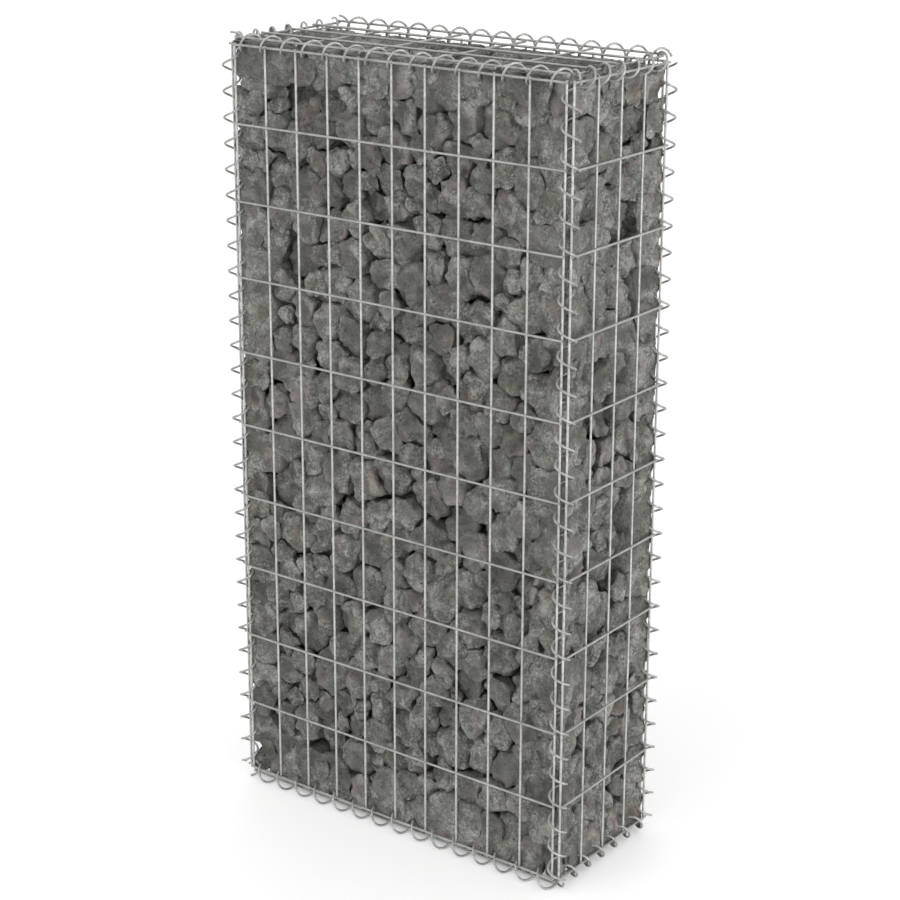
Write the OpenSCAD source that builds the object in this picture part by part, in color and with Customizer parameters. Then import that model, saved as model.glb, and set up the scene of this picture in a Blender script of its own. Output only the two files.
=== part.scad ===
// Free-standing gabion wall: a welded-mesh basket, laced along all twelve edges
// with binding spirals and packed with broken stone. Front faces -Y, Z is up.

/* [Basket] */
// Width of the front and back panels, between their end wires
basket_w = 500; // [300:10:1000]
// Depth of the side panels, between their end wires
basket_d = 200; // [150:10:500]
// Height of the wall panels, between their top and bottom wires
basket_h = 1000; // [500:10:1200]
// Distance from the plane of a side panel to the nearest upright of the front
side_step = 7.8; // [6:0.1:9.4]
// Distance from the plane of the front panel to the nearest upright of a side
front_step = 3.6; // [3:0.1:4.5]
// Distance from the end wires of the walls to the plane of the lid or base
lid_step = 9; // [8:0.1:10]

/* [Mesh] */
// Mesh opening width, between the close-set wires
cell_w = 50; // [48:1:60]
// Mesh opening height, between the wide-set wires
cell_h = 100; // [80:1:120]
// Diameter of the mesh wire
mesh_wire = 3; // [2.5:0.1:4]
// Part of a wire's diameter that is melted into the wire it crosses
weld_sink = 0.15; // [0.12:0.01:0.25]
// Length of wire left past the outermost weld
wire_stub = 1; // [0:0.1:2]

/* [Binding spirals] */
// Outside diameter of a spiral
spiral_d = 24.5; // [23:0.5:29.5]
// Diameter of the spiral's wire
spiral_wire = 3; // [2.5:0.1:3.6]
// Play left between a spiral and the end wire it bears on
spiral_seat = 0.3; // [0.2:0.1:0.6]
// Least space between a spiral and the mesh wires it winds past
weave_play = 0.35; // [0.3:0.05:0.5]
// How far the long spirals of the lid and base stop short of the corners
corner_gap = 4; // [3:0.5:8]

/* [Stone fill] */
// Play left between the stone and the mesh it leans on
fill_seat = 0.3; // [0.2:0.1:0.6]
// How far the stone has settled below the lid along the back
settling = 16; // [5:1:30]
// Depth of the level stone along the front, before it falls away to the back
level_d = 90; // [60:5:110]

/* [Hidden] */

// Numbers of mesh openings. Across the front and the sides they are even, so that
// every second upright of the front meets a cross wire of the lid, and the spirals
// make whole turns from corner to corner
columns = 2 * round(basket_w / (2 * cell_w));
side_columns = 2 * round(basket_d / (2 * cell_w));
rows = round(basket_h / cell_h);
column_w = basket_w / columns;
side_column_w = basket_d / side_columns;
row_h = basket_h / rows;

// An eight-sided wire is turned to show its flats, which lie this far from its axis
wire_sides = 8;
wire_flat = mesh_wire / 2 * cos(180 / wire_sides);
// Crossing wires lie in two layers, sunk into each other by the weld
layer = 2 * wire_flat - weld_sink * mesh_wire;

// Planes of the panels, measured from the middle of the basket: the uprights of
// the walls, and the long wires of the lid and base
front_plane = basket_d / 2 + front_step;
side_plane = basket_w / 2 + side_step;
lid_plane = basket_h / 2 + lid_step;

// A spiral is straight between its rings, so halfway between two it comes nearest
// its axis; reach is how far that axis can then stand from the wire it bears on
segments = 8;
spiral_r = (spiral_d - spiral_wire) / 2;
spiral_bore_r = spiral_r * cos(180 / segments) - spiral_wire / 2;
reach = spiral_bore_r - spiral_seat - mesh_wire / 2;
// An upright spiral makes three turns to a mesh opening, and the others make three
// to two openings
row_turns = 3;
pitch_z = row_h / row_turns;
pitch_x = 2 * column_w / row_turns;
pitch_y = 2 * side_column_w / row_turns;

// Spiral axes, from the middle of the basket. An upright spiral hangs outwards on
// the end wire of the front panel. The long ones stand level with the gap between
// the lid and the front, or hang from the lid if they are too narrow for that
upright_x = basket_w / 2 + reach;
upright_y = front_plane;
long_y = front_plane + layer / 2;
long_z = max(lid_plane - seat_drop(long_y - basket_d / 2), basket_h / 2 + lid_step / 2);
short_x = (basket_w / 2 + side_plane + layer) / 2;
short_z = lid_plane - layer - seat_drop(short_x - basket_w / 2);
// The basket stands on its lowest spirals
mid_z = max(long_z, short_z) + spiral_d / 2;

// Where the mesh wires pass through a spiral, as angles round its axis: from its
// lowest point outwards for the lid's spirals, from the right for the upright ones
side_wire_angle = acos((side_plane + layer - upright_x) / spiral_r);
front_upright_angle = 180 - asin((long_y - front_plane) / spiral_r);
lid_cross_angle = 270 - asin((lid_plane - layer - long_z) / spiral_r);
side_upright_angle = 180 + asin((side_plane - short_x) / spiral_r);
lid_long_angle = acos((lid_plane - short_z) / spiral_r);

// Part of a turn by which each spiral starts past the corner, so that it winds
// clear of those wires: midway between two of them, or just clear of one
upright_phase = (side_wire_angle - weave_angle(pitch_z)) / 360;
front_phase = 1 - (front_upright_angle + lid_cross_angle) / 720;
back_phase = (front_upright_angle - weave_angle(pitch_x)) / 360;
right_phase = (90 - (side_upright_angle + lid_long_angle) / 2) / 360;
left_phase = right_phase + 0.5;

// Ends of the spirals. Those along the sides stop further from the corners, by a
// share of their width, to leave room for the long and the upright ones
long_end = basket_w / 2 - corner_gap;
short_gap = 0.4 * spiral_d;
short_end = basket_d / 2 - short_gap;
upright_end = basket_h / 2;

// Faces of the stone fill, from the middle of the basket
fill_x = side_plane - wire_flat - fill_seat;
fill_y = front_plane - wire_flat - fill_seat;
fill_z = lid_plane - layer - wire_flat - fill_seat;
fill_foot = -fill_z;
lifts = 3;
lift_h = 2 * fill_z / lifts;
spiral_clear_r = spiral_d / 2 + fill_seat;

wire_colour = [0.74, 0.75, 0.74];
spiral_colour = [0.80, 0.81, 0.80];
stone_colour = [0.42, 0.42, 0.40];

// How far below a wire the axis of a spiral hangs that stands sideways of it
function seat_drop(sideways) = sqrt(reach * reach - sideways * sideways);

// Angle to keep between a spiral and a wire that passes through it
function weave_angle(pitch) =
    let (
        apart = (mesh_wire + spiral_wire) / 2 + weave_play,
        turn_length = norm([2 * PI * spiral_r, pitch])
    )
    apart * turn_length / (spiral_r * pitch) * 180 / PI;

// A straight wire along X, centred on the origin
module wire_x(length) {
    rotate([0, 90, 0])
        rotate([0, 0, 180 / wire_sides])
            cylinder(h = length, d = mesh_wire, center = true, $fn = wire_sides);
}

// A welded panel in the XZ plane, centred. The uprights run along Z through the
// origin's plane, and the cross wires lie one layer towards -Y
module mesh_panel(width, height, across, up) {
    for (i = [0 : across])
        translate([(i / across - 0.5) * width, 0, 0])
            rotate([0, 90, 0])
                wire_x(height + mesh_wire + 2 * wire_stub);
    for (j = [0 : up])
        translate([0, -layer, (j / up - 0.5) * height])
            wire_x(width + mesh_wire + 2 * wire_stub);
}

// Ring of a left-handed spiral's wire at t turns. The wire has four corners, and
// the axis of the spiral is Z
function spiral_ring(t, pitch) = [
    for (corner = [0 : 3])
        let (
            out = spiral_r + spiral_wire / 2 * cos(90 * corner),
            rise = pitch * t + spiral_wire / 2 * sin(90 * corner)
        )
        [out * cos(360 * t), -out * sin(360 * t), rise]
];

// Left-handed spiral along Z, whose ring at 0 turns is on the XY plane, between
// the heights low and high
module spiral(low, high, pitch) {
    first = ceil(low / pitch * segments);
    last = floor(high / pitch * segments);
    rings = last - first;
    points = [
        for (n = [first : last])
            each spiral_ring(n / segments, pitch)
    ];
    skin = [
        for (n = [0 : rings - 1], c = [0 : 3])
            let (
                a = 4 * n + c,
                b = 4 * n + (c + 1) % 4
            )
            each [[a, b, b + 4], [a, b + 4, a + 4]]
    ];
    ends = [
        [3, 2, 1, 0],
        [for (c = [0 : 3]) 4 * rings + c]
    ];
    polyhedron(points, concat(skin, ends));
}

// Upright spiral of the right-hand corners
module upright_spiral() {
    start = pitch_z * upright_phase - basket_h / 2;
    translate([upright_x, 0, start])
        spiral(-upright_end - start, upright_end - start, pitch_z);
}

// Spiral of the lid along X, with its axis on the XZ plane
module long_spiral(phase) {
    start = pitch_x * phase - basket_w / 2;
    translate([start, 0, long_z])
        rotate([0, 90, 0])
            spiral(-long_end - start, long_end - start, pitch_x);
}

// Spiral of the lid along its right edge
module short_spiral(phase) {
    start = pitch_y * phase - basket_d / 2;
    translate([short_x, start, short_z])
        rotate([-90, 0, 0])
            spiral(-short_end - start, short_end - start, pitch_y);
}

// Space taken by all the spirals, which the stone stays out of
module spiral_space() {
    for (sx = [-1, 1], sy = [-1, 1])
        translate([sx * upright_x, sy * upright_y, 0])
            cylinder(h = 2 * mid_z, r = spiral_clear_r, center = true);
    for (sy = [-1, 1], sz = [-1, 1])
        translate([0, sy * long_y, sz * long_z])
            rotate([0, 90, 0])
                cylinder(h = 2 * upright_x, r = spiral_clear_r, center = true);
    for (sx = [-1, 1], sz = [-1, 1])
        translate([sx * short_x, 0, sz * short_z])
            rotate([90, 0, 0])
                cylinder(h = 2 * upright_y, r = spiral_clear_r, center = true);
}

// All the stone, seen from the right: level at the front, fallen away at the back
module stone_body() {
    difference() {
        rotate([90, 0, 90])
            linear_extrude(height = 2 * fill_x, center = true)
                polygon([
                    [-fill_y, fill_foot],
                    [fill_y, fill_foot],
                    [fill_y, fill_z - settling],
                    [level_d - fill_y, fill_z],
                    [-fill_y, fill_z]
                ]);
        spiral_space();
    }
}

// One layer of the stone, counted from the bottom
module stone_lift(index) {
    translate([0, 0, mid_z])
        intersection() {
            stone_body();
            translate([-basket_w, -basket_w, fill_foot + index * lift_h])
                cube([2 * basket_w, 2 * basket_w, lift_h]);
        }
}

module front_panel() {
    color(wire_colour)
        translate([0, -front_plane, mid_z])
            mesh_panel(basket_w, basket_h, columns, rows);
}

module back_panel() {
    color(wire_colour)
        translate([0, 0, 2 * mid_z])
            rotate([180, 0, 0])
                front_panel();
}

module right_panel() {
    color(wire_colour)
        translate([side_plane, 0, mid_z])
            rotate([0, 0, 90])
                mesh_panel(basket_d, basket_h, side_columns, rows);
}

module left_panel() {
    color(wire_colour)
        rotate([0, 0, 180])
            right_panel();
}

// The lid's long wires lie on top, and its cross wires one layer below them
module lid_panel() {
    color(wire_colour)
        translate([0, 0, mid_z + lid_plane])
            rotate([90, 0, 90])
                mesh_panel(basket_d, basket_w, side_columns, columns / 2);
}

module base_panel() {
    color(wire_colour)
        translate([0, 0, 2 * mid_z])
            rotate([180, 0, 0])
                lid_panel();
}

module spiral_front_right() {
    color(spiral_colour)
        translate([0, -upright_y, mid_z])
            upright_spiral();
}

module spiral_back_right() {
    color(spiral_colour)
        translate([0, upright_y, mid_z])
            upright_spiral();
}

module spiral_front_left() {
    color(spiral_colour)
        mirror([1, 0, 0])
            spiral_front_right();
}

module spiral_back_left() {
    color(spiral_colour)
        mirror([1, 0, 0])
            spiral_back_right();
}

module spiral_top_front() {
    color(spiral_colour)
        translate([0, -long_y, mid_z])
            long_spiral(front_phase);
}

module spiral_top_back() {
    color(spiral_colour)
        translate([0, long_y, mid_z])
            long_spiral(back_phase);
}

module spiral_top_right() {
    color(spiral_colour)
        translate([0, 0, mid_z])
            short_spiral(right_phase);
}

module spiral_top_left() {
    color(spiral_colour)
        translate([0, 0, mid_z])
            rotate([0, 0, 180])
                short_spiral(left_phase);
}

// The base is laced like the lid, upside down
module upside_down() {
    translate([0, 0, 2 * mid_z])
        mirror([0, 0, 1])
            children();
}

module spiral_bottom_front() {
    color(spiral_colour)
        upside_down()
            spiral_top_front();
}

module spiral_bottom_back() {
    color(spiral_colour)
        upside_down()
            spiral_top_back();
}

module spiral_bottom_right() {
    color(spiral_colour)
        upside_down()
            spiral_top_right();
}

module spiral_bottom_left() {
    color(spiral_colour)
        upside_down()
            spiral_top_left();
}

module stone_fill_lower() {
    color(stone_colour)
        stone_lift(0);
}

module stone_fill_middle() {
    color(stone_colour)
        stone_lift(1);
}

module stone_fill_upper() {
    color(stone_colour)
        stone_lift(2);
}

front_panel();
back_panel();
left_panel();
right_panel();
lid_panel();
base_panel();
spiral_front_left();
spiral_front_right();
spiral_back_left();
spiral_back_right();
spiral_top_front();
spiral_top_back();
spiral_top_left();
spiral_top_right();
spiral_bottom_front();
spiral_bottom_back();
spiral_bottom_left();
spiral_bottom_right();
stone_fill_lower();
stone_fill_middle();
stone_fill_upper();
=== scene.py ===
import itertools
import math
from typing import NamedTuple

import bpy
import numpy as np
from bpy.props import (
    FloatProperty,
    FloatVectorProperty,
    IntProperty,
    PointerProperty,
)
from bpy.types import Operator, Panel, PropertyGroup
from mathutils import Matrix, Vector


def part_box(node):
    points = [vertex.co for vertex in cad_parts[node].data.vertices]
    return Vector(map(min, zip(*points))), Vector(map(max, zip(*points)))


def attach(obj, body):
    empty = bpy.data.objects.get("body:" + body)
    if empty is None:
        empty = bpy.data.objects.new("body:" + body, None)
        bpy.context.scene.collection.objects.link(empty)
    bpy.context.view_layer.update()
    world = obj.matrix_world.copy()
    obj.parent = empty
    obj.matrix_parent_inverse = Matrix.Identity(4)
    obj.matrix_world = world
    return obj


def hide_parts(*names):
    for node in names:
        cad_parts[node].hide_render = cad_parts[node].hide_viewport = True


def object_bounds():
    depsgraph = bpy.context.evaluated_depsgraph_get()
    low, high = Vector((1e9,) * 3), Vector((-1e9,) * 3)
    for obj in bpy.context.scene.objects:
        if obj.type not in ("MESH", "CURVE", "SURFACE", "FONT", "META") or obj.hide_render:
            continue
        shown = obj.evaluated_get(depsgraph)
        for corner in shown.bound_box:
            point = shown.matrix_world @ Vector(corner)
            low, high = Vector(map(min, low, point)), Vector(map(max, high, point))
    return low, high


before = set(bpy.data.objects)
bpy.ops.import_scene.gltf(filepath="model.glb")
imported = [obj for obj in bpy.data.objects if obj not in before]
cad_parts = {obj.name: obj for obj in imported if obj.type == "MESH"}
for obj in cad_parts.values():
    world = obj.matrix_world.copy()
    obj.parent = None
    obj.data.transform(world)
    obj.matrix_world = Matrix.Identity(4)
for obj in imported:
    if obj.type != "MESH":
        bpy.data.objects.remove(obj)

bl_info = {
    "name": "Gabion Wall",
    "version": (1, 0, 0),
    "blender": (4, 5, 0),
    "location": "3D View > Sidebar > Gabion",
    "description": "Dresses an upright gabion wall: welded mesh, binding spirals and stone",
    "category": "Add Mesh",
}

CAD_LOW, CAD_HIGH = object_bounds()
MIDDLE_Z = (CAD_LOW.z + CAD_HIGH.z) / 2
MM = 0.001

# The basket's panels and the layers of its fill, as their CAD nodes are named
PANELS = ("front", "back", "left", "right", "lid", "base")
LAYERS = ("lower", "middle", "upper")

# Half of the basket along each axis, from its middle to the corners of its mesh
HALF = {"x": 0.25, "y": 0.1, "z": 0.5}

# A bend sharper than this, as at a cut end, is shaded as an edge
SHARP_BEND = math.radians(60)


def linear(code):
    """An sRGB hex colour as the linear values that a shader takes."""
    parts = [int(code[i : i + 2], 16) / 255 for i in (1, 3, 5)]
    return tuple(
        c / 12.92 if c <= 0.04045 else ((c + 0.055) / 1.055) ** 2.4 for c in parts
    )


def colour(name, description, code):
    return FloatVectorProperty(
        name=name,
        description=description,
        subtype="COLOR",
        size=3,
        min=0,
        max=1,
        default=linear(code),
    )


def length(name, description, default_mm):
    return FloatProperty(
        name=name,
        description=description,
        default=default_mm * MM,
        min=0,
        subtype="DISTANCE",
        unit="LENGTH",
        precision=5,
    )


def angle(name, description, degrees):
    return FloatProperty(
        name=name,
        description=description,
        default=math.radians(degrees),
        subtype="ANGLE",
        unit="ROTATION",
    )


def factor(name, description, default, low, high):
    return FloatProperty(
        name=name, description=description, default=default, min=low, max=high
    )


class MeshSizes(PropertyGroup):
    """The welded mesh of the basket"""

    wire: length("Wire", "Diameter of the mesh wire", 3)
    opening_width: length("Opening width", "Distance between upright wires", 50)
    opening_height: length("Opening height", "Distance between cross wires", 100)
    layer: length("Layer", "Distance between crossing wires, sunk by the weld", 2.45)
    stub: length("Stub", "Length of wire past the last weld", 2.2)
    weld: length("Weld", "Width of the swelling at a weld", 4)
    zinc: colour("Zinc", "Body of the zinc coat", "#D3D4D1")
    zinc_dull: colour("Dull zinc", "Duller crystals in the zinc coat", "#AEB0AD")
    # Painted shade that makes the level wires darker than the uprights
    dust: colour("Dust", "Painted shade on the level wires", "#7E7F7A")


class SpiralSizes(PropertyGroup):
    """The binding spirals along the twelve edges"""

    wire: length("Wire", "Diameter of the spring wire", 3)
    pitch: length("Pitch", "Rise of one turn", 100 / 3)
    side_pitch: length("Side pitch", "Rise of one turn across the narrow sides", 31)
    upright_start: angle("Upright start", "Turn of the upright spirals past the corner", 34)
    front_start: angle("Front start", "Turn of the front spirals past the corner", 144)
    back_start: angle("Back start", "Turn of the back spirals past the corner", 133.6)
    right_start: angle("Right start", "Turn of the right-hand spirals past the corner", -20)
    left_start: angle("Left start", "Turn of the left-hand spirals past the corner", -62)
    upright_end: length("Upright end", "Half length of the upright spirals", 498.5)
    long_end: length("Long end", "Half length of the front and back spirals", 254)
    side_end: length("Side end", "Half length of the side spirals", 101)
    zinc: colour("Zinc", "Zinc coat of the spring wire", "#B9BAB8")
    zinc_dull: colour("Dull zinc", "Duller crystals in the zinc coat", "#929492")


class StoneSizes(PropertyGroup):
    """The stone fill"""

    width: length("Stone width", "Mean width of a stone", 46)
    tallness: factor("Tallness", "Height of a stone by its width", 1.16, 0.5, 2)
    spread: factor("Spread", "Spread of the stone sizes, by the mean", 0.28, 0, 0.5)
    fullness: factor("Fullness", "Volume of stone, by the basket's", 0.95, 0.3, 1.2)
    press: length("Press", "How far a stone's outline is pressed into the next one", 6.2)
    recess: length("Recess", "How far back from the mesh a stone may lie", 20)
    settling: length("Settling", "How far the fill has fallen along the back", 7)
    level_depth: length("Level depth", "Depth of the level part at the front", 110)
    lump: length("Lump", "Size of the lumps on a stone", 19)
    lump_depth: length("Lump depth", "Depth of the hollows between lumps", 8.5)
    grit: length("Grit", "Size of the rough parts of a broken face", 8)
    grit_depth: length("Grit depth", "Depth of the rough parts", 2.8)
    seed: IntProperty(name="Seed", description="Picks other stones", default=11)
    grey: colour("Grey", "Most of the stone", "#9B9C95")
    # Also painted on the tops of the lumps, as a highlight
    pale: colour("Pale grey", "Pale crystals, and the painted highlight on lump tops", "#CACBC3")
    # Also painted into the hollows between lumps, as shade, and darker still into pores and
    # creases
    dark: colour("Dark grey", "Damp and dark stone", "#6A6B65")
    warm: colour("Warm", "Pinkish beds in some stones", "#9C8F89")
    olive: colour("Olive", "Yellowish weathering", "#8F8C79")


class StageSettings(PropertyGroup):
    """The floor, lamps and camera"""

    room: factor("Room light", "Strength of the light from all round", 0.72, 0, 10)
    floor: colour("Floor", "Colour of the floor", "#F2F2F2")
    floor_half: length("Half floor", "Half of the floor's width", 40_000)
    lift: factor("Lift", "Added to the floor's shade as it is seen", 0.34, 0, 1)
    azimuth: angle("Azimuth", "Direction of the camera, right of the front", 36.37)
    elevation: angle("Elevation", "Height of the camera's view above the horizon", 16.80)
    roll: angle("Roll", "Turn of the camera about its own view", 0.29)
    eye: FloatVectorProperty(
        name="Eye",
        description="Place of the camera from the middle of the wall",
        subtype="XYZ",
        unit="LENGTH",
        default=(1.5369, -2.0406, 0.8601),
    )
    focal: FloatProperty(
        name="Focal length",
        description="Focal length of the lens",
        default=83.45,
        unit="CAMERA",
    )
    shift: FloatVectorProperty(
        name="Shift",
        description="Shift of the lens to the right and up, as shares of the sensor",
        size=2,
        precision=4,
        default=(-0.0164, -0.0837),
    )


class Gabion(PropertyGroup):
    """Everything that can be set on the wall"""

    mesh: PointerProperty(type=MeshSizes)
    spiral: PointerProperty(type=SpiralSizes)
    stone: PointerProperty(type=StoneSizes)
    stage: PointerProperty(type=StageSettings)


# Nodes ---------------------------------------------------------------------


def add_node(tree, kind, inputs=None, **settings):
    """Adds a node with its settings, and its inputs as values, links or lists of links.
    Gives its first output, and .node.outputs of that leads to the others."""
    made = tree.nodes.new(kind)
    for name, value in settings.items():
        setattr(made, name, value)
    for key, value in (inputs or {}).items():
        for one in value if isinstance(value, list) else [value]:
            if isinstance(one, bpy.types.NodeSocket):
                tree.links.new(one, made.inputs[key])
            else:
                made.inputs[key].default_value = one
    return next(iter(made.outputs), None)


def new_tree(name, sizes):
    """A geometry tree with a geometry in and out, and its named inputs by name."""
    tree = bpy.data.node_groups.new(name, "GeometryNodeTree")
    for in_out in ("OUTPUT", "INPUT"):
        tree.interface.new_socket(
            "Geometry", in_out=in_out, socket_type="NodeSocketGeometry"
        )
    kinds = {float: "NodeSocketFloat", int: "NodeSocketInt", str: "NodeSocketMaterial"}
    for label, default in sizes.items():
        made = tree.interface.new_socket(
            label, in_out="INPUT", socket_type=kinds[type(default)]
        )
        if not isinstance(default, str):
            made.default_value = default
    entry = tree.nodes.new("NodeGroupInput")
    return tree, {socket.name: socket for socket in entry.outputs if socket.name}


def close_tree(tree, geometry, material):
    """Ends a tree: instances made real, shaded smooth but for cut ends, and coated."""
    real = add_node(tree, "GeometryNodeRealizeInstances", {"Geometry": geometry})
    smooth = add_node(tree, "GeometryNodeSetShadeSmooth", {"Geometry": real})
    bend = add_node(tree, "GeometryNodeInputMeshEdgeAngle")
    sharp = add_node(
        tree,
        "FunctionNodeCompare",
        {"A": bend, "B": SHARP_BEND},
        data_type="FLOAT",
        operation="GREATER_THAN",
    )
    creased = add_node(
        tree,
        "GeometryNodeSetShadeSmooth",
        {"Geometry": smooth, "Selection": sharp, "Shade Smooth": False},
        domain="EDGE",
    )
    coated = add_node(
        tree, "GeometryNodeSetMaterial", {"Geometry": creased, "Material": material}
    )
    add_node(tree, "NodeGroupOutput", {"Geometry": coated})


def grow(tree, sizes, mesh=None):
    """The plain mesh that a geometry tree makes at the given sizes."""
    holder = bpy.data.objects.new("holder", mesh or bpy.data.meshes.new("holder"))
    bpy.context.scene.collection.objects.link(holder)
    modifier = holder.modifiers.new("shape", "NODES")
    modifier.node_group = tree
    for item in tree.interface.items_tree:
        if item.in_out == "INPUT" and item.name in sizes:
            modifier[item.identifier] = sizes[item.name]
    grown = bpy.data.meshes.new_from_object(
        holder.evaluated_get(bpy.context.evaluated_depsgraph_get())
    )
    bpy.data.objects.remove(holder)
    return grown


def place_piece(name, mesh, node, place=None):
    """Makes a piece of a mesh, with its place in the mesh, and gives it to the frame."""
    if place is not None:
        mesh.transform(place)
        if place.determinant() < 0:
            mesh.flip_normals()
    mesh.name = name
    piece = bpy.data.objects.new(name, mesh)
    bpy.context.scene.collection.objects.link(piece)
    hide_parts(node)
    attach(piece, "root")


# Materials -----------------------------------------------------------------


def new_material(name):
    material = bpy.data.materials.new(name)
    material.use_nodes = True
    material.node_tree.nodes.clear()
    return material, material.node_tree


def galvanised_wire(name, sizes, roughness, dust=None):
    """Drawn steel wire, dipped in zinc: pale, dull metal, mottled by the zinc's
    crystals, with soft long highlights and no mirror image. Where a shade colour is
    given, it is painted over the wires marked for it, as painted shade that makes
    the level wires darker than the uprights."""
    material, tree = new_material(name)
    where = add_node(tree, "ShaderNodeTexCoord").node.outputs["Object"]
    # Zinc crystals are 1 to 3 mm across on wire, and are drawn 5 mm wide to show. Its
    # runs and dull patches are a few centimetres long
    crystals, patches = (
        add_node(
            tree,
            "ShaderNodeTexNoise",
            {"Vector": where, "Scale": 1 / (size * MM), "Detail": 3.0, "Roughness": 0.6},
        )
        for size in (5, 40)
    )
    both = add_node(
        tree, "ShaderNodeMath", {0: crystals, 1: patches}, operation="MULTIPLY"
    )
    share = add_node(
        tree, "ShaderNodeMapRange", {"Value": both, "From Min": 0.14, "From Max": 0.36}
    )
    body = add_node(
        tree,
        "ShaderNodeMix",
        {"Factor": share, 6: (*sizes.zinc_dull, 1), 7: (*sizes.zinc, 1)},
        data_type="RGBA",
    ).node.outputs[2]
    # Painted shade: the marked wires, the level ones, are painted darker than the uprights
    if dust is not None:
        darkest_shade = 0.42
        shade_marked = add_node(tree, "ShaderNodeAttribute", attribute_name="dust")
        shade_share = add_node(
            tree,
            "ShaderNodeMapRange",
            {"Value": shade_marked.node.outputs["Fac"], "To Max": darkest_shade},
        )
        body = add_node(
            tree,
            "ShaderNodeMix",
            {"Factor": shade_share, 6: body, 7: (*dust, 1)},
            data_type="RGBA",
        ).node.outputs[2]
    gloss = add_node(
        tree,
        "ShaderNodeMapRange",
        {
            "Value": crystals,
            "From Min": 0.3,
            "From Max": 0.7,
            "To Min": roughness + 0.08,
            "To Max": roughness - 0.06,
        },
    )
    bump = add_node(
        tree,
        "ShaderNodeBump",
        {"Height": crystals, "Strength": 0.25, "Distance": 0.15 * MM},
    )
    skin = add_node(
        tree,
        "ShaderNodeBsdfPrincipled",
        {"Base Color": body, "Metallic": 0.45, "Roughness": gloss, "Normal": bump},
    )
    add_node(tree, "ShaderNodeOutputMaterial", {"Surface": skin})
    return material


def broken_stone(sizes):
    """Broken hard rock: matt grey, speckled by its crystals, pitted, with a few pinkish or
    yellowish beds. The tops of its lumps are painted paler, as a highlight, and its
    hollows and the creases between stones darker, as shade."""
    material, tree = new_material("broken_stone")
    # The stone's own number, how deep a place lies between lumps, and how near it lies
    # to the next stone
    tint, hollow, crease = (
        add_node(tree, "ShaderNodeAttribute", attribute_name=name).node.outputs["Fac"]
        for name in ("tint", "hollow", "crease")
    )
    where = add_node(tree, "ShaderNodeTexCoord").node.outputs["Object"]
    # Each stone reads its own part of the patterns
    own = add_node(
        tree, "ShaderNodeVectorMath", {0: tint, "Scale": 3.0}, operation="SCALE"
    )
    there = add_node(tree, "ShaderNodeVectorMath", {0: where, 1: own}, operation="ADD")
    # The size of each pattern in mm, its detail and its roughness. Crystals are 1 to
    # 2 mm, and are drawn 4 mm wide to show
    patterns = {
        name: add_node(
            tree,
            "ShaderNodeTexNoise",
            {
                "Vector": there,
                "Scale": 1 / (size * MM),
                "Detail": detail,
                "Roughness": roughness,
            },
        )
        for name, size, detail, roughness in (
            ("mottle", 15, 7.0, 0.75),
            ("crystals", 3.6, 3.0, 0.75),
            ("pits", 6, 3.0, 0.75),
            ("beds", 38, 2.0, 0.5),
            ("stains", 30, 2.0, 0.5),
            ("damp", 60, 1.0, 0.5),
        )
    }
    patterns |= {"hollow": hollow, "crease": crease}
    # Pores, and the creases where stones meet, are painted darker, as shade, because
    # light doesn't reach into them
    light_in_pores = 0.65
    pore_and_crease_shade = tuple(part * light_in_pores for part in sizes.dark)
    # What lies over the dark rock: where its pattern begins and is full, how much of it
    # there is, and its colour
    base = (*sizes.dark, 1)
    for name, begins, full, most, shade in (
        ("mottle", 0.38, 0.58, 1.0, sizes.grey),
        ("crystals", 0.48, 0.62, 0.85, sizes.pale),
        ("beds", 0.55, 0.66, 0.75, sizes.warm),
        ("stains", 0.59, 0.7, 0.5, sizes.olive),
        # Painted light: the tops of the lumps are painted paler, as a highlight, and the
        # deep hollows between them darker, as shade
        ("hollow", 0.3, 0.0, 0.45, sizes.pale),
        ("hollow", 0.25, 0.8, 0.65, sizes.dark),
        ("damp", 0.47, 0.62, 0.62, sizes.dark),
        # Painted shade in the creases where stones meet
        ("crease", 0.4, 1.0, 0.5, pore_and_crease_shade),
        ("pits", 0.41, 0.33, 0.9, pore_and_crease_shade),
    ):
        share = add_node(
            tree,
            "ShaderNodeMapRange",
            {
                "Value": patterns[name],
                "From Min": begins,
                "From Max": full,
                "To Max": most,
            },
        )
        base = add_node(
            tree,
            "ShaderNodeMix",
            {"Factor": share, 6: base, 7: (*shade, 1)},
            data_type="RGBA",
        ).node.outputs[2]
    # Some stones are a little lighter or darker all over
    most = 0.035
    shade = add_node(
        tree, "ShaderNodeMapRange", {"Value": tint, "To Min": -most, "To Max": most}
    )
    base = add_node(tree, "ShaderNodeBrightContrast", {"Color": base, "Bright": shade})
    # The mottling stands out most, then the crystals, and the pores are cut in
    height = patterns["crystals"]
    for name, depth in (("mottle", 3.0), ("pits", 2.0)):
        height = add_node(
            tree,
            "ShaderNodeMath",
            {0: patterns[name], 1: depth, 2: height},
            operation="MULTIPLY_ADD",
        )
    bump = add_node(
        tree,
        "ShaderNodeBump",
        {"Height": height, "Strength": 1.0, "Distance": 2.2 * MM},
    )
    skin = add_node(
        tree,
        "ShaderNodeBsdfPrincipled",
        {
            "Base Color": base,
            "Roughness": 0.92,
            "Specular IOR Level": 0.3,
            "Normal": bump,
        },
    )
    add_node(tree, "ShaderNodeOutputMaterial", {"Surface": skin})
    return material


# Welded mesh ---------------------------------------------------------------


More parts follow.
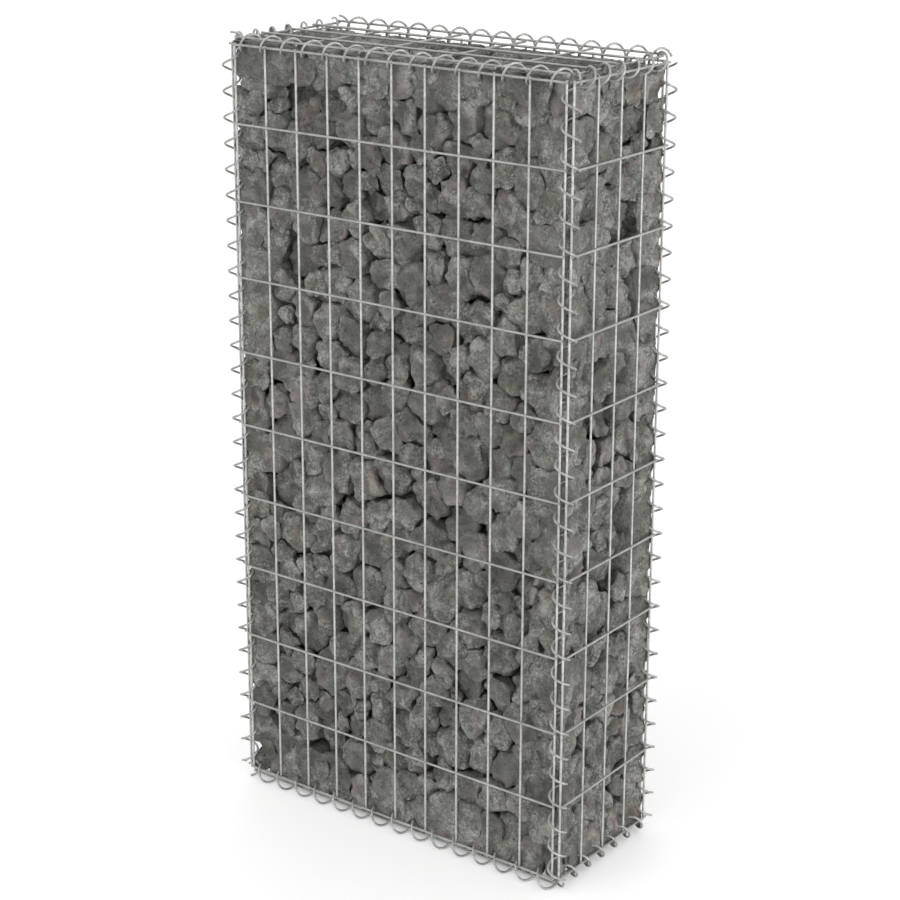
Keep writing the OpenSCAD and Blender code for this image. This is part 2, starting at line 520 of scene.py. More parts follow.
def welded_mesh_tree(sizes):
    """Uprights along Z and cross wires along X, one layer towards -Y, welded."""
    tree, size = new_tree(
        "Welded mesh",
        {
            "Width": 2 * HALF["x"],
            "Height": 2 * HALF["z"],
            "Openings across": 10,
            "Openings up": 10,
            "Wire": sizes.wire,
            "Layer": sizes.layer,
            "Stub": sizes.stub,
            "Weld": sizes.weld,
            # How much painted shade each row of wires takes
            "Dust on uprights": 0.0,
            "Dust on cross wires": 1.0,
            "Zinc": "",
        },
    )
    for name, operation, *terms in (
        ("radius", "DIVIDE", "Wire", 2.0),
        ("bead radius", "DIVIDE", "Weld", 2.0),
        ("right", "DIVIDE", "Width", 2.0),
        ("left", "MULTIPLY", "right", -1.0),
        ("top", "DIVIDE", "Height", 2.0),
        ("bottom", "MULTIPLY", "top", -1.0),
        ("right end", "ADD", "right", "Stub"),
        ("left end", "MULTIPLY", "right end", -1.0),
        ("top end", "ADD", "top", "Stub"),
        ("bottom end", "MULTIPLY", "top end", -1.0),
        ("cross layer", "MULTIPLY", "Layer", -1.0),
        ("weld layer", "DIVIDE", "cross layer", 2.0),
        ("uprights", "ADD", "Openings across", 1.0),
        ("cross wires", "ADD", "Openings up", 1.0),
    ):
        size[name] = add_node(
            tree,
            "ShaderNodeMath",
            {i: size.get(term, term) for i, term in enumerate(terms)},
            operation=operation,
        )
    section = add_node(
        tree,
        "GeometryNodeCurvePrimitiveCircle",
        {"Resolution": 12, "Radius": size["radius"]},
    )
    parts = []
    # For each row of wires: a wire's two ends, and where the row begins and ends
    for count, *spots in (
        (
            "uprights",
            {"Z": "bottom end"},
            {"Z": "top end"},
            {"X": "left"},
            {"X": "right"},
        ),
        (
            "cross wires",
            {"X": "left end"},
            {"X": "right end"},
            {"Y": "cross layer", "Z": "bottom"},
            {"Y": "cross layer", "Z": "top"},
        ),
    ):
        start, end, first, last = (
            add_node(
                tree,
                "ShaderNodeCombineXYZ",
                {axis: size[name] for axis, name in spot.items()},
            )
            for spot in spots
        )
        line = add_node(
            tree, "GeometryNodeCurvePrimitiveLine", {"Start": start, "End": end}
        )
        rod = add_node(
            tree,
            "GeometryNodeCurveToMesh",
            {"Curve": line, "Profile Curve": section, "Fill Caps": True},
        )
        row = add_node(
            tree,
            "GeometryNodeMeshLine",
            {"Count": size[count], "Start Location": first, "Offset": last},
            mode="END_POINTS",
        )
        # Marks the wires of a row that take the painted shade
        shade_marked = add_node(
            tree,
            "GeometryNodeStoreNamedAttribute",
            {"Geometry": rod, "Name": "dust", "Value": size[f"Dust on {count}"]},
            data_type="FLOAT",
            domain="POINT",
        )
        parts.append(
            add_node(
                tree,
                "GeometryNodeInstanceOnPoints",
                {"Points": row, "Instance": shade_marked},
            )
        )
    grid = add_node(
        tree,
        "GeometryNodeMeshGrid",
        {
            "Size X": size["Width"],
            "Size Y": size["Height"],
            "Vertices X": size["uprights"],
            "Vertices Y": size["cross wires"],
        },
    )
    between = add_node(tree, "ShaderNodeCombineXYZ", {"Y": size["weld layer"]})
    stood_up = (math.pi / 2, 0.0, 0.0)
    crossings = add_node(
        tree,
        "GeometryNodeTransform",
        {"Geometry": grid, "Translation": between, "Rotation": stood_up},
    )
    # The swelling of the melted metal is a little wider than the wire and flat
    flatness = 0.62
    bead = add_node(
        tree,
        "GeometryNodeMeshUVSphere",
        {"Segments": 8, "Rings": 5, "Radius": size["bead radius"]},
    )
    parts.append(
        add_node(
            tree,
            "GeometryNodeInstanceOnPoints",
            {
                "Points": crossings,
                "Instance": bead,
                "Rotation": stood_up,
                "Scale": (1.0, 1.0, flatness),
            },
        )
    )
    joined = add_node(tree, "GeometryNodeJoinGeometry", {0: parts})
    close_tree(tree, joined, size["Zinc"])
    return tree


class GABION_OT_welded_mesh(Operator):
    """Add the six panels of welded mesh"""

    bl_idname = "gabion.welded_mesh"
    bl_label = "Welded Mesh"

    def execute(self, context):
        sizes = context.scene.gabion.mesh
        zinc = galvanised_wire("galvanised_mesh_wire", sizes, 0.42, sizes.dust)
        tree = welded_mesh_tree(sizes)
        quarter = math.pi / 2
        # How each panel is turned from one that stands in the XZ plane, facing -Y
        turned = {
            "front": Matrix(),
            "back": Matrix.Rotation(math.pi, 4, "X"),
            "right": Matrix.Rotation(quarter, 4, "Z"),
            "left": Matrix.Rotation(-quarter, 4, "Z"),
            "lid": Matrix.Rotation(quarter, 4, "Z") @ Matrix.Rotation(quarter, 4, "X"),
        }
        turned["base"] = turned["back"] @ turned["lid"]
        for name in PANELS:
            low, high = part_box(f"{name}_panel")
            span = turned[name].to_3x3().transposed() @ (high - low)
            width, height = (
                round(abs(x) / sizes.opening_width) * sizes.opening_width
                for x in (span.x, span.z)
            )
            # The lid and base have openings twice as long as wide
            level = name in ("lid", "base")
            up = 2 * sizes.opening_width if level else sizes.opening_height
            mesh = grow(
                tree,
                {
                    "Width": width,
                    "Height": height,
                    "Openings across": round(width / sizes.opening_width),
                    "Openings up": round(height / up),
                    # In the lid and base every wire lies level and takes the painted shade
                    "Dust on uprights": float(level),
                    "Zinc": zinc,
                },
            )
            # The panel's two layers lie either side of the middle of its CAD node
            shift = Matrix.Translation((0, sizes.layer / 2, 0))
            place = Matrix.Translation((low + high) / 2) @ turned[name] @ shift
            place_piece(f"{name}_mesh", mesh, f"{name}_panel", place)
        return {"FINISHED"}


# Binding spirals -----------------------------------------------------------

# A spiral is this much thinner all round than its CAD node's box
INSIDE_NODE = 0.01 * MM


def spiral_tree(sizes):
    """A left-handed spiral about Z, at 0 degrees where Z is 0."""
    tree, size = new_tree(
        "Binding spiral",
        {
            "Low": -HALF["z"],
            "High": HALF["z"],
            "Pitch": sizes.pitch,
            "Radius": 10.75 * MM,
            "Wire": sizes.wire,
            "Steps a turn": 24,
            "Zinc": "",
        },
    )
    here = add_node(tree, "GeometryNodeInputPosition")
    size["Z"] = add_node(tree, "ShaderNodeSeparateXYZ", {0: here}).node.outputs["Z"]
    for name, operation, *terms in (
        ("wire radius", "DIVIDE", "Wire", 2.0),
        ("span", "SUBTRACT", "High", "Low"),
        ("turns", "DIVIDE", "span", "Pitch"),
        ("steps", "MULTIPLY", "turns", "Steps a turn"),
        ("turn", "DIVIDE", "Z", "Pitch"),
        ("angle", "MULTIPLY", "turn", 2 * math.pi),
        ("cosine", "COSINE", "angle"),
        ("sine", "SINE", "angle"),
        ("x", "MULTIPLY", "cosine", "Radius"),
        ("right-handed y", "MULTIPLY", "sine", "Radius"),
        ("y", "MULTIPLY", "right-handed y", -1.0),
    ):
        size[name] = add_node(
            tree,
            "ShaderNodeMath",
            {i: size.get(term, term) for i, term in enumerate(terms)},
            operation=operation,
        )
    start, end = (
        add_node(tree, "ShaderNodeCombineXYZ", {"Z": size[name]})
        for name in ("Low", "High")
    )
    axis = add_node(tree, "GeometryNodeCurvePrimitiveLine", {"Start": start, "End": end})
    stepped = add_node(
        tree, "GeometryNodeResampleCurve", {"Curve": axis, "Count": size["steps"]}
    )
    wound = add_node(
        tree, "ShaderNodeCombineXYZ", {"X": size["x"], "Y": size["y"], "Z": size["Z"]}
    )
    coil = add_node(
        tree, "GeometryNodeSetPosition", {"Geometry": stepped, "Position": wound}
    )
    section = add_node(
        tree,
        "GeometryNodeCurvePrimitiveCircle",
        {"Resolution": 10, "Radius": size["wire radius"]},
    )
    wire = add_node(
        tree,
        "GeometryNodeCurveToMesh",
        {"Curve": coil, "Profile Curve": section, "Fill Caps": True},
    )
    close_tree(tree, wire, size["Zinc"])
    return tree


def laid_spirals(sizes):
    """Each spiral's place, the heights between which it winds, pitch and radius."""
    quarter, full = math.pi / 2, 2 * math.pi
    upright = Matrix()
    along_x = Matrix.Rotation(quarter, 4, "Y")
    along_y = Matrix.Rotation(-quarter, 4, "X")
    half_turn = Matrix.Rotation(math.pi, 4, "Z")
    mirror_x = Matrix.Scale(-1, 4, (1, 0, 0))
    mirror_z = Matrix.Scale(-1, 4, (0, 0, 1))
    # For each spiral: how it is turned, the axis it lies along, its pitch, and the
    # turn by which it starts past the corner
    laced = {
        "front_right": (upright, "z", sizes.pitch, sizes.upright_start),
        "back_right": (upright, "z", sizes.pitch, sizes.upright_start),
        "front_left": (mirror_x, "z", sizes.pitch, sizes.upright_start),
        "back_left": (mirror_x, "z", sizes.pitch, sizes.upright_start),
        "top_front": (along_x, "x", sizes.pitch, sizes.front_start),
        "top_back": (along_x, "x", sizes.pitch, sizes.back_start),
        "top_right": (along_y, "y", sizes.side_pitch, sizes.right_start),
        "top_left": (half_turn @ along_y, "y", sizes.side_pitch, sizes.left_start),
    }
    for edge in ("front", "back", "right", "left"):
        turned, axis, pitch, start = laced[f"top_{edge}"]
        laced[f"bottom_{edge}"] = (mirror_z @ turned, axis, pitch, start)
    ends = {"z": sizes.upright_end, "x": sizes.long_end, "y": sizes.side_end}
    laid = {}
    for name, (turned, axis, pitch, start) in laced.items():
        low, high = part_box(f"spiral_{name}")
        middle = (low + high) / 2
        setattr(middle, axis, MIDDLE_Z if axis == "z" else 0)
        zero = pitch * start / full - HALF[axis]
        laid[name] = (
            Matrix.Translation(middle) @ turned @ Matrix.Translation((0, 0, zero)),
            -ends[axis] - zero,
            ends[axis] - zero,
            pitch,
            (min(high - low) - sizes.wire) / 2 - INSIDE_NODE,
        )
    return laid


class GABION_OT_binding_spirals(Operator):
    """Add the twelve spirals that bind the panels along their edges"""

    bl_idname = "gabion.binding_spirals"
    bl_label = "Binding Spirals"

    def execute(self, context):
        sizes = context.scene.gabion.spiral
        zinc = galvanised_wire("galvanised_spring_wire", sizes, 0.36)
        tree = spiral_tree(sizes)
        for name, (place, low, high, pitch, radius) in laid_spirals(sizes).items():
            mesh = grow(
                tree,
                {
                    "Low": low,
                    "High": high,
                    "Pitch": pitch,
                    "Radius": radius,
                    "Zinc": zinc,
                },
            )
            place_piece(f"binder_{name}", mesh, f"spiral_{name}", place)
        return {"FINISHED"}


# Stone fill ----------------------------------------------------------------

# Where these walls stand in the list that fill_walls gives
BASE, TOP, SLOPE = 4, 5, 6

# The smallest and largest stones, in mean radii
RADIUS_RANGE = (0.55, 1.5)
# The stones settle in steps. Every few steps they look again for others within this
# reach, in mean radii, and each step takes back a share of every overlap. A stone keeps
# a share of its radius from a wall, and from the middle of a spiral a share of its own
# radius and one of the spiral's
SETTLING_STEPS = 120
STEPS_A_LOOK = 10
LOOK_REACH = 3.2
TAKEN_BACK = 0.3
WALL_ROOM = 0.93
STONE_ROOM = 0.45
SPIRAL_ROOM = 0.6

# How near to a wall a stone shows, or stands beside it, and how far from every wall it
# is out of sight, in its own radii. A wall this little further than the nearest one
# counts with it
SHOWS_WITHIN = 1.45
BESIDE_WITHIN = 1.5
HIDDEN_PAST = 3
AS_NEAR = 0.4

# The next stones are those whose centres are within a number of a stone's radii and a
# gap. It meets each between two shares of the way there, and is then pressed into it
# by a share of the press
NEXT_RADII, NEXT_GAP = 3, 8 * MM
MEETING_RANGE = (0.25, 0.8)
PRESS_RANGE = (0.5, 1.5)
# How far a side that rests on the mesh leans, and the share of the recess at the top
LEAN = 0.3
TOP_RECESS = 0.4
# A stone's own broken faces, and how far from its centre they lie, in radii
BREAKS = 5
BREAK_RANGE = (0.9, 1.35)
# No side lies nearer to the centre than this
LEAST_REACH = 4 * MM

# How much the corners of a stone are drawn towards the side that shows
DRAWN_OUT = 0.45
# Along the basket's edges, the part of a stone that points to the edge begins and is
# full at these cosines. It is grown by one share, and its relief lessened by another
EDGE_BEGINS, EDGE_OVER = 0.6, 0.22
EDGE_GROWTH = 0.34
EDGE_SMOOTHING = 0.6
# The gap that a stone's corners keep to the walls, and to a spiral where they are moved
# off its wire
WALL_GAP = 0.2 * MM
SPIRAL_GAP = 0.3 * MM
# How far along a spiral, either way from its wire, corners are moved off it: less and
# less over the last part of this
CLEARED, CLEARED_LESS = 4.2 * MM, 2.2 * MM

# Added to a length before something is divided by it
TINY = 1e-9


class Cut(NamedTuple):
    """How a stone is cut, as shares of what holds for all stones"""

    press: float  # How far it is pressed into the next stones
    lean: float  # How much its sides lean on the mesh and lie back from it
    further: float  # How much further out its broken faces lie, in radii
    bulge: float  # How far it may reach from its centre, in radii
    flatness: float  # How much less than that on the side that shows
    sharpness: int  # How sharply its sides meet


IN_FACE = Cut(press=1, lean=1, further=0, bulge=1.4, flatness=0.28, sharpness=9)
AT_EDGE = Cut(press=1.15, lean=0.3, further=0.6, bulge=1.75, flatness=0, sharpness=12)


class Stone(NamedTuple):
    """A stone's skin. The last three hold a value for each of its corners."""

    corners: np.ndarray
    faces: np.ndarray
    tint: np.ndarray  # The stone's own number
    relief: np.ndarray  # How deep it may be cut
    crease: np.ndarray  # How much it is held by the next stones


def geodesic(steps):
    """Corners and triangles of a sphere of 20 faces, each cut into steps by steps."""
    golden = (1 + 5**0.5) / 2
    corners = []
    for a in (-1, 1):
        for b in (-golden, golden):
            corners += [(0, a, b), (a, b, 0), (b, 0, a)]
    corners = np.array(corners, float)
    gap = np.linalg.norm(corners[:, None] - corners[None], axis=2)
    # Neighbouring corners are 2 apart
    near = gap < 2.01
    points, index, faces = [], {}, []

    def number(spot):
        spot = spot / np.linalg.norm(spot)
        key = tuple(np.round(spot, 5) + 0.0)
        if key not in index:
            index[key] = len(points)
            points.append(spot)
        return index[key]

    for i, j, k in itertools.combinations(range(len(corners)), 3):
        if not (near[i, j] and near[j, k] and near[i, k]):
            continue
        a, b, c = corners[i], corners[j], corners[k]
        if np.dot(np.cross(b - a, c - a), a) < 0:
            b, c = c, b
        rows = [
            [
                number(a + (b - a) * (u - v) / steps + (c - a) * v / steps)
                for v in range(u + 1)
            ]
            for u in range(steps + 1)
        ]
        for u in range(steps):
            for v in range(u + 1):
                faces.append((rows[u][v], rows[u + 1][v], rows[u + 1][v + 1]))
                if v < u:
                    faces.append((rows[u][v], rows[u + 1][v + 1], rows[u][v + 1]))
    return np.array(points), np.array(faces)


def fill_walls(sizes, low, high):
    """Flat faces of the fill, as outward normals and distances from the origin."""
    slope = math.atan2(sizes.settling, (high.y - low.y) - sizes.level_depth)
    normals = np.array(
        [
            (1, 0, 0),
            (-1, 0, 0),
            (0, 1, 0),
            (0, -1, 0),
            (0, 0, -1),
            (0, 0, 1),
            (0, math.sin(slope), math.cos(slope)),
        ],
        float,
    )
    on = np.array(
        [high, low, high, low, low, high, (0, low.y + sizes.level_depth, high.z)], float
    )
    return normals, (normals * on).sum(1)


def coils(sizes):
    """The spirals as the stones meet them: from the wall to a spiral's own space and
    back, with its pitch and the radius to which corners are moved."""
    found = []
    for place, _, _, pitch, radius in laid_spirals(sizes).values():
        over = radius + sizes.wire / 2 + SPIRAL_GAP
        found.append((np.array(place.inverted()), np.array(place), pitch, over))
    return found


def moved(points, matrix):
    return points @ matrix[:3, :3].T + matrix[:3, 3]


def near_pairs(place, reach):
    """Numbers of the pairs of stones whose centres are within reach."""
    spots = place.astype(np.float32)
    first, second = [], []
    for i in range(len(spots) - 1):
        away = spots[i + 1 :] - spots[i]
        near = np.flatnonzero((away**2).sum(1) < reach * reach)
        first.append(np.full(len(near), i))
        second.append(near + i + 1)
    return np.concatenate(first), np.concatenate(second)


class Fill:
    """The stones as balls shaken together, taller than wide, and what holds them"""

    def __init__(self, sizes, low, high, winding):
        self.sizes = sizes
        self.tall = np.array((1, 1, sizes.tallness))
        self.normals, self.distances = fill_walls(sizes, low, high)
        self.winding = winding
        self.place, self.radius = self.shake(low, high)

    def shake(self, low, high):
        """Centres and radii of the stones, when they have settled."""
        sizes, tall = self.sizes, self.tall
        random = np.random.default_rng(sizes.seed)
        mean = sizes.width / 2
        box = np.array(high - low)
        ball = 4 / 3 * math.pi * mean**3 * sizes.tallness
        count = int(sizes.fullness * box.prod() / ball)
        radius = mean * np.clip(random.normal(1, sizes.spread, count), *RADIUS_RANGE)
        place = np.array(low) + random.random((count, 3)) * box
        for step in range(SETTLING_STEPS):
            if step % STEPS_A_LOOK == 0:
                first, second = near_pairs(place, LOOK_REACH * mean)
                want = radius[first] + radius[second]
            apart = (place[first] - place[second]) / tall
            gap = np.linalg.norm(apart, axis=1) + TINY
            overlap = np.clip(want - gap, 0, None)
            push = apart * (overlap / gap * TAKEN_BACK)[:, None] * tall
            for i in range(3):
                place[:, i] += np.bincount(first, push[:, i], count)
                place[:, i] -= np.bincount(second, push[:, i], count)
            for normal, distance in zip(self.normals, self.distances):
                room = radius * np.linalg.norm(normal * tall)
                past = place @ normal + room * WALL_ROOM - distance
                place -= np.outer(np.clip(past, 0, None), normal)
            for inwards, outwards, _, over in self.winding:
                local = moved(place, inwards)
                off = np.linalg.norm(local[:, :2], axis=1)
                past = np.clip(over * SPIRAL_ROOM + radius * STONE_ROOM - off, 0, None)
                local[:, :2] += local[:, :2] / off[:, None] * past[:, None]
                place = moved(local, outwards)
        return place, radius

    def outlook(self, number):
        """The way a stone faces out, with no length where it doesn't show, whether it
        shows, whether it lies along one of the basket's edges, and whether it lies
        deep inside."""
        size = self.radius[number]
        to_wall = self.distances - self.normals @ self.place[number]
        # The base is never seen, so the stones on it need no finer shape
        shows = np.delete(to_wall, BASE).min() < SHOWS_WITHIN * size
        # The slope is one with the flat top, so it doesn't count as a wall by itself
        beside = to_wall < BESIDE_WITHIN * size
        beside[SLOPE] = beside[SLOPE] and not beside[TOP]
        at_edge = beside.sum() > 1
        facing = beside if at_edge else to_wall < to_wall.min() + AS_NEAR * size
        out = self.normals[facing].sum(0)
        out = out / (np.linalg.norm(out) + TINY) * shows
        return out, shows, at_edge, to_wall.min() > HIDDEN_PAST * size

    def sides(self, number, random, cut):
        """The planes that cut a stone: their directions from its centre, how far it
        reaches along each, and how many of them, at the start, are the next stones'."""
        sizes = self.sizes
        centre, size = self.place[number], self.radius[number]
        apart = np.linalg.norm((self.place - centre) / self.tall, axis=1)
        within = NEXT_RADII * size + NEXT_GAP
        close = np.flatnonzero((apart > 0) & (apart < within))
        towards = self.place[close] - centre
        gap = np.linalg.norm(towards, axis=1)
        apart = apart[close]
        share = (apart**2 + size**2 - self.radius[close] ** 2) / (2 * apart**2)
        press = sizes.press * random.uniform(*PRESS_RANGE, len(close)) * cut.press
        # A stone leans on the mesh with a side that is a little askew, and along the
        # edges of the basket it lies square to both panels
        leaning = self.normals + random.uniform(-LEAN, LEAN, self.normals.shape) * cut.lean
        to_wall = self.distances - self.normals @ centre
        back = random.uniform(0, 1, len(to_wall)) ** 3 * sizes.recess * cut.lean
        back[TOP:] *= TOP_RECESS
        broken = random.normal(size=(BREAKS, 3))
        breaks = size * (random.uniform(*BREAK_RANGE, BREAKS) + cut.further)
        planes = np.vstack([towards, leaning, broken])
        planes /= np.linalg.norm(planes, axis=1)[:, None]
        reach = [gap * np.clip(share, *MEETING_RANGE) + press, to_wall - back, breaks]
        return planes, np.maximum(np.concatenate(reach), LEAST_REACH), len(close)

    def carve(self, number, random, ball, out, at_edge):
        """One stone, cut from a ball: each corner lies as far from its centre as its
        sides and its size let it, and it is rounded where these meet."""
        points, faces = ball
        cut = AT_EDGE if at_edge else IN_FACE
        centre, size = self.place[number], self.radius[number]
        planes, reach, next_stones = self.sides(number, random, cut)
        # More corners on the side that shows, which lies flatter, along the mesh
        aim = points + DRAWN_OUT * out
        aim /= np.linalg.norm(aim, axis=1)[:, None]
        bulge = cut.bulge - cut.flatness * np.clip(aim @ out, 0, 1)
        held = (np.clip(aim @ planes.T, 0, None) / reach) ** cut.sharpness
        limit = 1 / (bulge * size * np.linalg.norm(aim * self.tall, axis=1))
        all_held = held.sum(1) + limit**cut.sharpness
        # Where the next stones hold a corner most, along the creases between stones, the
        # colour paints shade
        crease = held[:, :next_stones].sum(1) / all_held
        # Along the edges the stones fill the basket to its corners
        to_edge = at_edge * np.clip((aim @ out - EDGE_BEGINS) / EDGE_OVER, 0, 1)
        grown = (1 + EDGE_GROWTH * to_edge) * all_held ** (-1 / cut.sharpness)
        corners = centre + aim * grown[:, None]
        for normal, wall in zip(self.normals, self.distances):
            past = np.clip(corners @ normal - wall + WALL_GAP, 0, None)
            corners -= np.outer(past, normal)
        corners = self.clear_spirals(corners)
        tint = np.full(len(corners), random.random())
        return Stone(corners, faces, tint, 1 - EDGE_SMOOTHING * to_edge, crease)

    def clear_spirals(self, corners):
        """Moves corners off the spirals' wires, and leaves those between the turns.
        A face between two corners may still cross a wire."""
        for inwards, outwards, pitch, over in self.winding:
            local = moved(corners, inwards)
            off = np.linalg.norm(local[:, :2], axis=1)
            if off.min() > over:
                continue
            turn = np.arctan2(-local[:, 1], local[:, 0]) / (2 * math.pi)
            rise = np.abs((local[:, 2] / pitch - turn + 0.5) % 1 - 0.5) * pitch
            clear = over * np.clip((CLEARED - rise) / CLEARED_LESS, 0, 1)
            past = np.clip(clear - off, 0, None)
            local[:, :2] += local[:, :2] / np.maximum(off, TINY)[:, None] * past[:, None]
            corners = moved(local, outwards)
        return corners


def stones_mesh(stones):
    """One mesh of many stones, with the attributes that its relief and colour read, the
    colour painting shade along its creases.
    """
    mesh = bpy.data.meshes.new("stones")
    starts = np.cumsum([0] + [len(stone.corners) for stone in stones[:-1]])
    faces = [stone.faces + start for stone, start in zip(stones, starts)]
    corners = np.vstack([stone.corners for stone in stones])
    mesh.from_pydata(corners, [], np.vstack(faces).tolist())
    for name in ("tint", "relief", "crease"):
        values = np.concatenate([getattr(stone, name) for stone in stones])
        mesh.attributes.new(name, "FLOAT", "POINT").data.foreach_set("value", values)
    mesh.update()
    return mesh


def stone_relief_tree(sizes):
    """Lumps and broken edges, always cut inwards, so that no stone grows."""
    tree, size = new_tree(
        "Stone relief",
        {
            "Lump": sizes.lump,
            "Lump depth": sizes.lump_depth,
            "Grit": sizes.grit,
            "Grit depth": sizes.grit_depth,
            "Stone": "",
        },
    )
    # The tint is each stone's own number, and the relief is how deep it may be cut
    tint, relief = (
        add_node(
            tree, "GeometryNodeInputNamedAttribute", {"Name": name}, data_type="FLOAT"
        )
        for name in ("tint", "relief")
    )
    own = add_node(
        tree, "ShaderNodeVectorMath", {0: tint, "Scale": 5.0}, operation="SCALE"
    )
    here = add_node(tree, "GeometryNodeInputPosition")
    there = add_node(tree, "ShaderNodeVectorMath", {0: here, 1: own}, operation="ADD")
    cut = 0.0
    for name, detail in (("Lump", 1.0), ("Grit", 2.0)):
        scale = add_node(
            tree, "ShaderNodeMath", {0: 1.0, 1: size[name]}, operation="DIVIDE"
        )
        noise = add_node(
            tree,
            "ShaderNodeTexNoise",
            {"Vector": there, "Scale": scale, "Detail": detail},
        )
        # The pattern lies between about 0.25 and 0.75, and its lowest parts are cut
        # to the full depth
        hollow = add_node(
            tree,
            "ShaderNodeMapRange",
            {
                "Value": noise,
                "From Min": 0.28,
                "From Max": 0.66,
                "To Min": -1.0,
                "To Max": 0.0,
            },
        )
        cut = add_node(
            tree,
            "ShaderNodeMath",
            {0: hollow, 1: size[f"{name} depth"], 2: cut},
            operation="MULTIPLY_ADD",
        )
    deepest = add_node(
        tree,
        "ShaderNodeMath",
        {0: size["Lump depth"], 1: size["Grit depth"]},
        operation="ADD",
    )
    share = add_node(tree, "ShaderNodeMath", {0: cut, 1: deepest}, operation="DIVIDE")
    depth = add_node(tree, "ShaderNodeMath", {0: share}, operation="ABSOLUTE")
    # The depth is kept for the stone's colour, which paints the deep hollows darker, as
    # shade, and the lump tops paler, as a highlight
    marked = add_node(
        tree,
        "GeometryNodeStoreNamedAttribute",
        {"Geometry": size["Geometry"], "Name": "hollow", "Value": depth},
        data_type="FLOAT",
        domain="POINT",
    )
    cut = add_node(tree, "ShaderNodeMath", {0: cut, 1: relief}, operation="MULTIPLY")
    normal = add_node(tree, "GeometryNodeInputNormal")
    offset = add_node(
        tree, "ShaderNodeVectorMath", {0: normal, "Scale": cut}, operation="SCALE"
    )
    rough = add_node(
        tree, "GeometryNodeSetPosition", {"Geometry": marked, "Offset": offset}
    )
    close_tree(tree, rough, size["Stone"])
    return tree


class GABION_OT_stone_fill(Operator):
    """Add the stones, each its own shape, packed against its neighbours"""

    bl_idname = "gabion.stone_fill"
    bl_label = "Stone Fill"

    def execute(self, context):
        sizes = context.scene.gabion.stone
        random = np.random.default_rng(sizes.seed + 1)
        boxes = [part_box(f"stone_fill_{layer}") for layer in LAYERS]
        low = Vector([min(box[0][i] for box in boxes) for i in range(3)])
        high = Vector([max(box[1][i] for box in boxes) for i in range(3)])
        middle_y = (low.y + high.y) / 2
        fill = Fill(sizes, low, high, coils(context.scene.gabion.spiral))
        fine, coarse, hidden = geodesic(6), geodesic(3), geodesic(2)
        groups = {(layer, side): [] for layer in LAYERS for side in ("front", "back")}
        for number, centre in enumerate(fill.place):
            out, shows, at_edge, deep = fill.outlook(number)
            ball = fine if shows else (hidden if deep else coarse)
            layer = LAYERS[sum(centre[2] > box[1].z for box in boxes[:-1])]
            side = "front" if centre[1] < middle_y else "back"
            groups[layer, side].append(fill.carve(number, random, ball, out, at_edge))
        material = broken_stone(sizes)
        tree = stone_relief_tree(sizes)
        for (layer, side), stones in groups.items():
            rough = grow(tree, {"Stone": material}, stones_mesh(stones))
            place_piece(f"stones_{layer}_{side}", rough, f"stone_fill_{layer}")
        return {"FINISHED"}


# Stage ---------------------------------------------------------------------


def direction(azimuth, elevation):
    """The way from the wall, by the turn to the right of its front and the height
    above the horizon."""
    level = math.cos(elevation)
    return Vector(
        (math.sin(azimuth) * level, -math.cos(azimuth) * level, math.sin(elevation))
    )


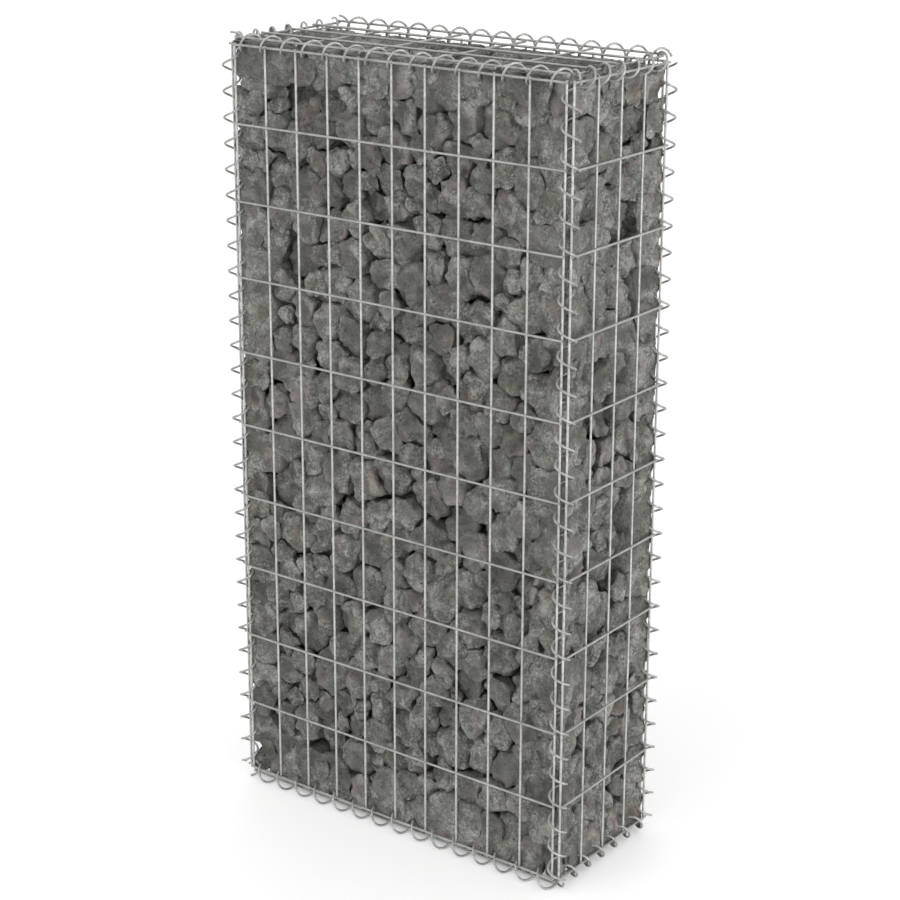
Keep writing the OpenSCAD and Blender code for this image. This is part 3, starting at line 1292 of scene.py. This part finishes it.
class GABION_OT_stage(Operator):
    """Add the pale floor, the soft lamps and the camera"""

    bl_idname = "gabion.stage"
    bl_label = "Stage"

    def execute(self, context):
        settings = context.scene.gabion.stage
        scene = context.scene
        self.lay_floor(scene, settings)
        self.light(scene, settings)
        self.set_camera(scene, settings)
        scene.view_settings.view_transform = "Standard"
        return {"FINISHED"}

    def lay_floor(self, scene, settings):
        half = settings.floor_half
        z = CAD_LOW.z
        mesh = bpy.data.meshes.new("floor")
        mesh.from_pydata(
            [(-half, -half, z), (half, -half, z), (half, half, z), (-half, half, z)],
            [],
            [(0, 1, 2, 3)],
        )
        floor = bpy.data.objects.new("floor", mesh)
        scene.collection.objects.link(floor)
        material, tree = new_material("studio_floor")
        ray = add_node(tree, "ShaderNodeLightPath").node.outputs
        seen = add_node(
            tree,
            "ShaderNodeMath",
            {0: ray["Is Camera Ray"], 1: ray["Is Glossy Ray"]},
            operation="MAXIMUM",
        )
        lift = add_node(
            tree, "ShaderNodeMath", {0: seen, 1: settings.lift}, operation="MULTIPLY"
        )
        matt = add_node(tree, "ShaderNodeBsdfDiffuse", {"Color": (*settings.floor, 1)})
        glow = add_node(tree, "ShaderNodeEmission", {"Strength": lift})
        shown = add_node(tree, "ShaderNodeAddShader", {0: matt, 1: glow})
        add_node(tree, "ShaderNodeOutputMaterial", {"Surface": shown})
        mesh.materials.append(material)

    def light(self, scene, settings):
        world = bpy.data.worlds.new("studio")
        scene.world = world
        world.use_nodes = True
        tree = world.node_tree
        tree.nodes.clear()
        ray = add_node(tree, "ShaderNodeLightPath").node.outputs
        seen = ray["Is Camera Ray"]
        for kind in ("Is Glossy Ray", "Is Transmission Ray"):
            seen = add_node(
                tree, "ShaderNodeMath", {0: seen, 1: ray[kind]}, operation="MAXIMUM"
            )
        room, white = (
            add_node(
                tree,
                "ShaderNodeBackground",
                {"Color": (1, 1, 1, 1), "Strength": strength},
            )
            for strength in (settings.room, 1.0)
        )
        both = add_node(tree, "ShaderNodeMixShader", {0: seen, 1: room, 2: white})
        add_node(tree, "ShaderNodeOutputWorld", {"Surface": both})
        # A wide lamp low on the right, and weaker ones high on the left, in front and
        # behind: the direction each shines from, its strength and its width
        for name, azimuth, elevation, strength, width in (
            ("key", 82, 6, 1.3, 25),
            ("fill", -20, 45, 0.45, 40),
            ("front", 20, 5, 0.2, 40),
            ("back", 215, 20, 0.45, 40),
        ):
            lamp = bpy.data.lights.new(name, "SUN")
            lamp.energy = strength
            lamp.angle = math.radians(width)
            source = bpy.data.objects.new(name, lamp)
            back = direction(math.radians(azimuth), math.radians(elevation))
            source.rotation_euler = back.to_track_quat("Z", "Y").to_euler()
            scene.collection.objects.link(source)

    def set_camera(self, scene, settings):
        camera = bpy.data.cameras.new("camera")
        camera.sensor_width = 36
        camera.lens = settings.focal
        camera.shift_x, camera.shift_y = settings.shift
        camera.clip_start, camera.clip_end = 0.05, 200
        eye = bpy.data.objects.new("camera", camera)
        back = direction(settings.azimuth, settings.elevation)
        turn = back.to_track_quat("Z", "Y").to_matrix().to_4x4()
        eye.matrix_world = (
            Matrix.Translation(Vector(settings.eye) + Vector((0, 0, MIDDLE_Z)))
            @ turn
            @ Matrix.Rotation(settings.roll, 4, "Z")
        )
        scene.collection.objects.link(eye)
        scene.camera = eye


class GABION_PT_panel(Panel):
    """Lists the pieces of the gabion wall, with the sizes and colours of each"""

    bl_label = "Gabion Wall"
    bl_idname = "GABION_PT_panel"
    bl_space_type = "VIEW_3D"
    bl_region_type = "UI"
    bl_category = "Gabion"

    def draw(self, context):
        settings = context.scene.gabion
        for operator, group in OPERATORS:
            box = self.layout.box()
            for name in group.__annotations__:
                box.prop(getattr(settings, PART_OF[group]), name)
            box.operator(operator.bl_idname)


OPERATORS = (
    (GABION_OT_welded_mesh, MeshSizes),
    (GABION_OT_binding_spirals, SpiralSizes),
    (GABION_OT_stone_fill, StoneSizes),
    (GABION_OT_stage, StageSettings),
)
PART_OF = {
    MeshSizes: "mesh",
    SpiralSizes: "spiral",
    StoneSizes: "stone",
    StageSettings: "stage",
}
CLASSES = (
    *PART_OF,
    Gabion,
    *(operator for operator, _ in OPERATORS),
    GABION_PT_panel,
)


def register():
    for cls in CLASSES:
        bpy.utils.register_class(cls)
    bpy.types.Scene.gabion = PointerProperty(type=Gabion)


def unregister():
    del bpy.types.Scene.gabion
    for cls in reversed(CLASSES):
        bpy.utils.unregister_class(cls)


def main():
    register()
    bpy.ops.gabion.stage()
    bpy.ops.gabion.welded_mesh()
    bpy.ops.gabion.binding_spirals()
    bpy.ops.gabion.stone_fill()


if __name__ == "__main__":
    main()
